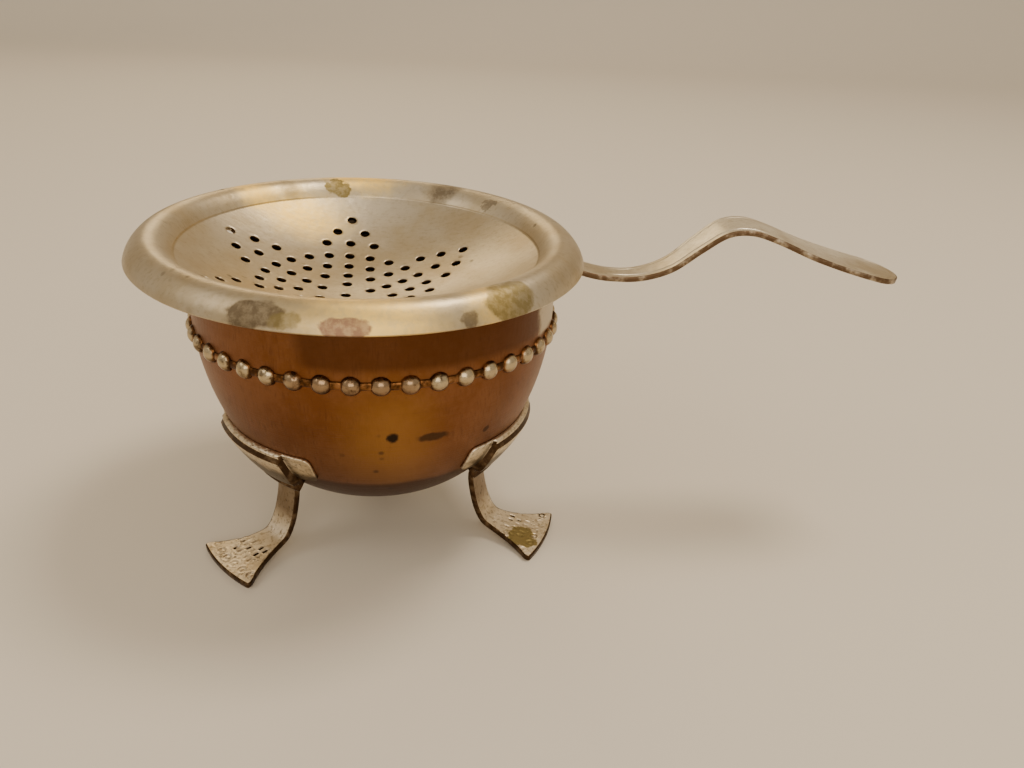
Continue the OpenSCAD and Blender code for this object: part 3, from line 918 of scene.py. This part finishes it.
# Marks on the flange: the five golden ones are painted highlights, reflections of warm lamps; the rest are
# stains, tarnish and worn spots.
FLANGE_STAINS_AND_GLINTS = (
    (SILVER_PAINTED_GLINT, 1.0, dict(centre=(-18, 23, 49), reach=11, ragged=8, scale=120.0,
                            squeeze=(0.8, 1.3, 1), sharp=0.1)),
    (SILVER_PAINTED_GLINT, 0.9, dict(centre=(6, -34.6, 51.6), reach=12, ragged=6, scale=300.0,
                            squeeze=(0.7, 2, 1.5), sharp=0.1)),
    (SILVER_PAINTED_GLINT, 1.0, dict(centre=(-8.6, 33.4, 53.6), reach=7, ragged=5, scale=300.0,
                            squeeze=(0.6, 2, 1), sharp=0.2)),
    (SILVER_PAINTED_GLINT, 1.0, dict(centre=(-26.2, 22.5, 53), reach=4.5, ragged=3, scale=300.0,
                            squeeze=(0.8, 1, 1), sharp=0.2)),
    (SILVER_PAINTED_GLINT, 0.7, dict(centre=(21, -27.5, 51.8), reach=6, ragged=4, scale=300.0, sharp=0.2)),
    (BRASS_WORN, 1.0, dict(centre=(-12, 31.4, 52.9), reach=2.0, ragged=2.6, scale=520.0,
                            squeeze=(0.6, 1, 1), sharp=0.8)),
    (TARNISH, 0.75, dict(centre=(8.7, 31.6, 52.9), reach=3.2, ragged=4, scale=300.0,
                            squeeze=(0.7, 1, 1), sharp=0.5)),
    (TARNISH, 0.5, dict(centre=(-20.9, 27.4, 53.3), reach=3.2, ragged=3, scale=260.0, sharp=0.3)),
    (TARNISH, 0.6, dict(centre=(18, 25, 52.4), reach=1.7, ragged=7, scale=700.0, sharp=0.6)),
    (TARNISH, 0.85, dict(centre=(-11.3, -34.8, 51.2), reach=2.9, ragged=4.2, scale=260.0,
                            squeeze=(0.6, 1, 1.3), sharp=0.75)),
    (BRASS_WORN, 0.7, dict(centre=(-6.5, -35.6, 51), reach=2, ragged=3, scale=420.0,
                            squeeze=(0.8, 1, 1.3), sharp=0.7)),
    (STAIN_RED, 0.9, dict(centre=(1.6, -36.1, 50.4), reach=2.8, ragged=2.6, scale=380.0,
                            squeeze=(0.75, 1, 1.6), sharp=0.85)),
    (BRASS_WORN, 0.9, dict(centre=(23.4, -25, 51.4), reach=3.8, ragged=4, scale=260.0,
                            squeeze=(0.8, 0.8, 1.2), sharp=0.8)),
    (TARNISH, 0.7, dict(centre=(17.8, -30.4, 50.6), reach=1.6, ragged=2.8, scale=480.0, sharp=0.7)),
)
silver = plate_finish("strainer_plate", FLANGE_STAINS_AND_GLINTS)
# The handle's plate is a lighter copy of the silver: painted light.
handle_silver_painted_light = plate_finish("handle_plate", plate=HANDLE_SILVER_PAINTED_LIGHT)
dark_edge = edge_finish("dark_edge")
handle_edge = edge_finish("handle_edge", HANDLE_EDGE_DARK, HANDLE_EDGE_PALE)
foot_silver = foot_finish("foot_plate")
foot_silver_worn = foot_finish("foot_plate_worn", (27.0, -10.4, 1.8))

bowl = make_drip_bowl((copper_finish(), inside_finish()))
beads = make_bead_row(bead_finish())
feet = {}
for place, (node, plate) in enumerate((("foot_left", foot_silver), ("foot_right", foot_silver_worn),
                                       ("foot_back", foot_silver))):
    feet[node] = make_foot(node + "_stamping", FOOT_FIRST + 120 * place, (plate, dark_edge))
strainer = make_strainer(silver, dark_edge)
handle = make_handle((handle_silver_painted_light, handle_edge))

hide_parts("drip_bowl")
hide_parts("bead_band")
for node, foot in feet.items():
    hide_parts(node)
    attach(foot, "stand")
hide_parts("strainer_bowl")
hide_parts("handle")
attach(bowl, "stand")
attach(beads, "stand")
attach(strainer, "strainer")
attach(handle, "strainer")


# ---------------------------------------------------------------- floor, light, camera

def plain(name, colour, roughness):
    f = Finish(name, Base_Color=(*colour, 1), Roughness=roughness)
    return f.material


def make_floor():
    """One pale sheet: flat under the object, then swept up behind it."""
    bend = arc(0.35, -90, 0, 16, (0.75, 0.35))
    profile = np.concatenate([[[-3, 0]], bend, [[1.1, 2.5]]])
    vertices, faces = [], []
    for y, z in profile:
        vertices += [(-3, y, z), (3, y, z)]
    for i in range(len(profile) - 1):
        faces.append([2 * i, 2 * i + 1, 2 * i + 3, 2 * i + 2])
    mesh = bpy.data.meshes.new("floor")
    mesh.from_pydata(vertices, [], faces)
    mesh.shade_smooth()
    floor = new_object("floor", mesh)
    mesh.materials.append(plain("floor_pale", (0.74, 0.67, 0.56), 0.6))


def area_light(name, place, aim, size, power, colour):
    light = bpy.data.lights.new(name, "AREA")
    light.shape = "RECTANGLE"
    light.size, light.size_y = size
    light.energy = power
    light.color = colour
    lamp = bpy.data.objects.new(name, light)
    bpy.context.scene.collection.objects.link(lamp)
    lamp.location = place
    lamp.rotation_euler = (Vector(aim) - Vector(place)).to_track_quat("-Z", "Y").to_euler()


CAMERA_PITCH = math.radians(24.83)
CAMERA_ROLL = math.radians(2.61)
CAMERA_AWAY = 0.163         # distance from the middle of the bead row, then shifts right and down
CAMERA_RIGHT = 0.02353
CAMERA_DOWN = 0.01244


def make_camera():
    """Camera at eye height in front, a little to the right, looking down at the bowl."""
    pitch, roll = CAMERA_PITCH, CAMERA_ROLL
    ahead = Vector((0, math.cos(pitch), -math.sin(pitch)))
    up = Vector((0, math.sin(pitch), math.cos(pitch)))
    right = Vector((1, 0, 0))
    right_rolled = right * math.cos(roll) + up * math.sin(roll)
    up_rolled = up * math.cos(roll) - right * math.sin(roll)
    place = Vector((0, 0, BEAD_Z)) - ahead * CAMERA_AWAY
    place = place + right_rolled * CAMERA_RIGHT - up_rolled * CAMERA_DOWN
    data = bpy.data.cameras.new("camera")
    data.lens = 33.0
    data.sensor_width = 36.0
    data.clip_start = 0.005
    camera = bpy.data.objects.new("camera", data)
    bpy.context.scene.collection.objects.link(camera)
    turn = Matrix((right_rolled, up_rolled, -ahead)).transposed().to_4x4()
    camera.matrix_world = Matrix.Translation(place) @ turn
    bpy.context.scene.camera = camera


make_floor()
make_camera()
area_light("key", (0.28, 0.12, 0.75), (0, 0, 0.03), (0.25, 0.25), 3, (1, 0.88, 0.72))
area_light("fill", (-0.55, -0.25, 0.55), (0, 0, 0.03), (0.3, 0.3), 0.6, (1, 0.91, 0.78))
area_light("back", (-0.22, 0.65, 0.42), (0, 0, 0.05), (0.3, 0.2), 0.6, (1, 0.80, 0.50))
area_light("front", (0.12, -0.8, 0.42), (0, 0, 0.05), (0.8, 0.5), 2.9, (1, 0.91, 0.78))
world = bpy.data.worlds.new("studio")
world.use_nodes = True
world.node_tree.nodes["Background"].inputs[0].default_value = (0.80, 0.70, 0.57, 1)
world.node_tree.nodes["Background"].inputs[1].default_value = 0.78
bpy.context.scene.world = world
